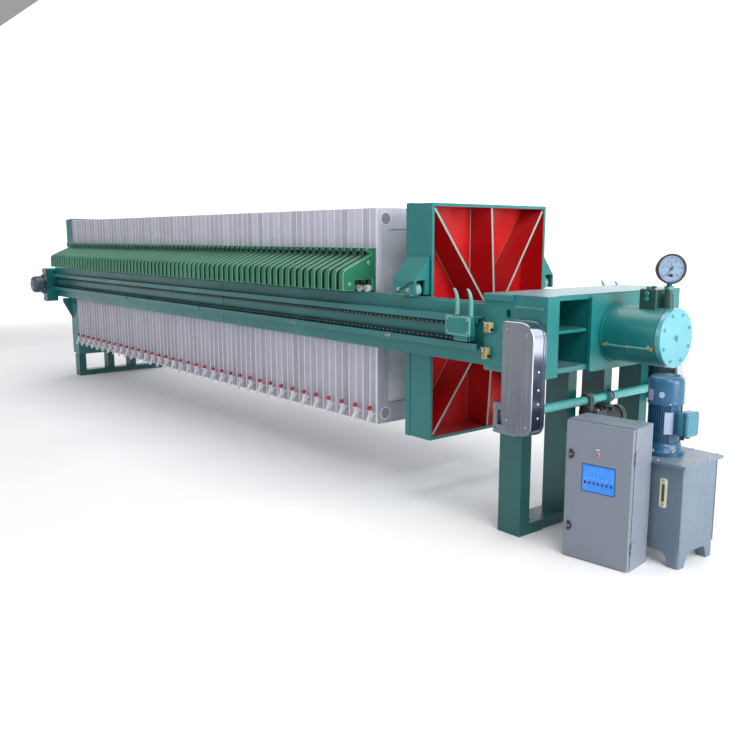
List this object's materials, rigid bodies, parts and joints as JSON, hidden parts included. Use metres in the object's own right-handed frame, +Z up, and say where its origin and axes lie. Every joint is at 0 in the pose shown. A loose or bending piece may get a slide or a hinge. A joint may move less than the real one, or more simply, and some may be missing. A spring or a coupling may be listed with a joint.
{
  "type": "plate filter press",
  "caption": "Horizontal plate filter press with hanging plates, sliding head, hydraulic cylinder seat, plate-shifting drive, oil station and control cabinet.",
  "frame": {"origin": "on the floor under the middle of the whole set's box", "axes": "+X along the press towards the hydraulic cylinder end, +Y away from the service side with the cabinet, +Z up"},
  "size_m": [7.814, 1.66, 1.742],
  "materials": {
    "frame_green": "machine enamel, satin, chipped at edges",
    "track_green": "machine enamel, satin, greasy inside",
    "tail_grey": "grey enamel, satin",
    "plate_plastic": "moulded polypropylene, matt, stained at the joints",
    "handle_green": "green enamel on cast iron, satin",
    "tap_plastic": "moulded plastic, satin",
    "knob_red": "moulded plastic, glossy",
    "head_paint": "machine enamel outside, red primer inside",
    "rib_paint": "red primer enamel, satin",
    "bare_steel": "turned steel, oiled",
    "rod_chrome": "hard chrome, ground",
    "dark_green": "dark green enamel",
    "gauge_black": "black enamel, satin",
    "case_steel": "polished stainless sheet",
    "shaft_green": "light green enamel",
    "dark_motor": "dark enamel, satin",
    "puller_green": "machine enamel, satin",
    "switch_beige": "moulded plastic, matt",
    "cabinet_grey": "powder coat, light grey, fine texture",
    "tank_grey": "grey-blue enamel, satin",
    "motor_blue": "blue enamel on cast iron, satin"
  },
  "bodies": {
    "frame": {"base_bars": "frame_green", "beam_gussets": "frame_green", "cabinet_back": "cabinet_grey", "cabinet_sides": "cabinet_grey", "cabinet_top_and_base": "cabinet_grey", "case_brackets": "case_steel", "chain_cases": "case_steel", "chain_tracks": "track_green", "cylinder_body": "frame_green", "cylinder_end_cap": "frame_green", "drain_taps": "tap_plastic", "end_filter_plate": "plate_plastic", "feed_flange": "frame_green", "filter_plates": "plate_plastic", "fixed_head": "frame_green", "fixed_head_ribs": "frame_green", "gear_motor": "dark_motor", "left_legs": "frame_green", "limit_switches": "switch_beige", "main_beams": "frame_green", "oil_tank": "tank_grey", "plate_handles_far": "handle_green", "plate_handles_near": "handle_green", "pressure_gauge": "gauge_black", "pump_motor": "motor_blue", "right_legs": "frame_green", "seat_cheeks": "frame_green", "seat_front_plate": "frame_green", "seat_inner_plates": "frame_green", "seat_top_bottom_plates": "frame_green", "tail_sprocket_cases": "tail_grey", "tank_lid": "tank_grey", "tap_knobs": "knob_red", "valve_block": "dark_green"},
    "movable_head": {"head_front_plate": "frame_green", "head_side_walls": "head_paint", "head_top_bottom_walls": "head_paint", "head_ribs": "rib_paint", "head_side_arms": "frame_green", "head_rollers": "bare_steel", "piston_rod": "rod_chrome"},
    "near_puller": {"puller_near": "puller_green"},
    "far_puller": {"puller_far": "puller_green"},
    "shifter_shaft": {"drive_shaft": "shaft_green"},
    "door": {"cabinet_door": "cabinet_grey"}
  },
  "joints": [
    {"name": "head_slide", "type": "slide", "parent": "frame", "child": "movable_head", "axis": [1, 0, 0], "range_m": [-0.255, 0.3]},
    {"name": "near_puller_slide", "type": "slide", "parent": "frame", "child": "near_puller", "axis": [-1, 0, 0], "range_m": [0, 5.9]},
    {"name": "far_puller_slide", "type": "slide", "parent": "frame", "child": "far_puller", "axis": [-1, 0, 0], "range_m": [0, 5.9]},
    {"name": "shaft_spin", "type": "hinge", "parent": "frame", "child": "shifter_shaft", "pos_m": [3.187, 0, 0.682], "axis": [0, 1, 0], "continuous": true},
    {"name": "cabinet_door_hinge", "type": "hinge", "parent": "frame", "child": "door", "pos_m": [3.76288, -0.50929, 0.343], "axis": [0, 0, 1], "range_deg": [0, 110]}
  ],
  "couplings": [
    {"joint": "far_puller_slide", "follows": "near_puller_slide", "ratio": 1}
  ]
}
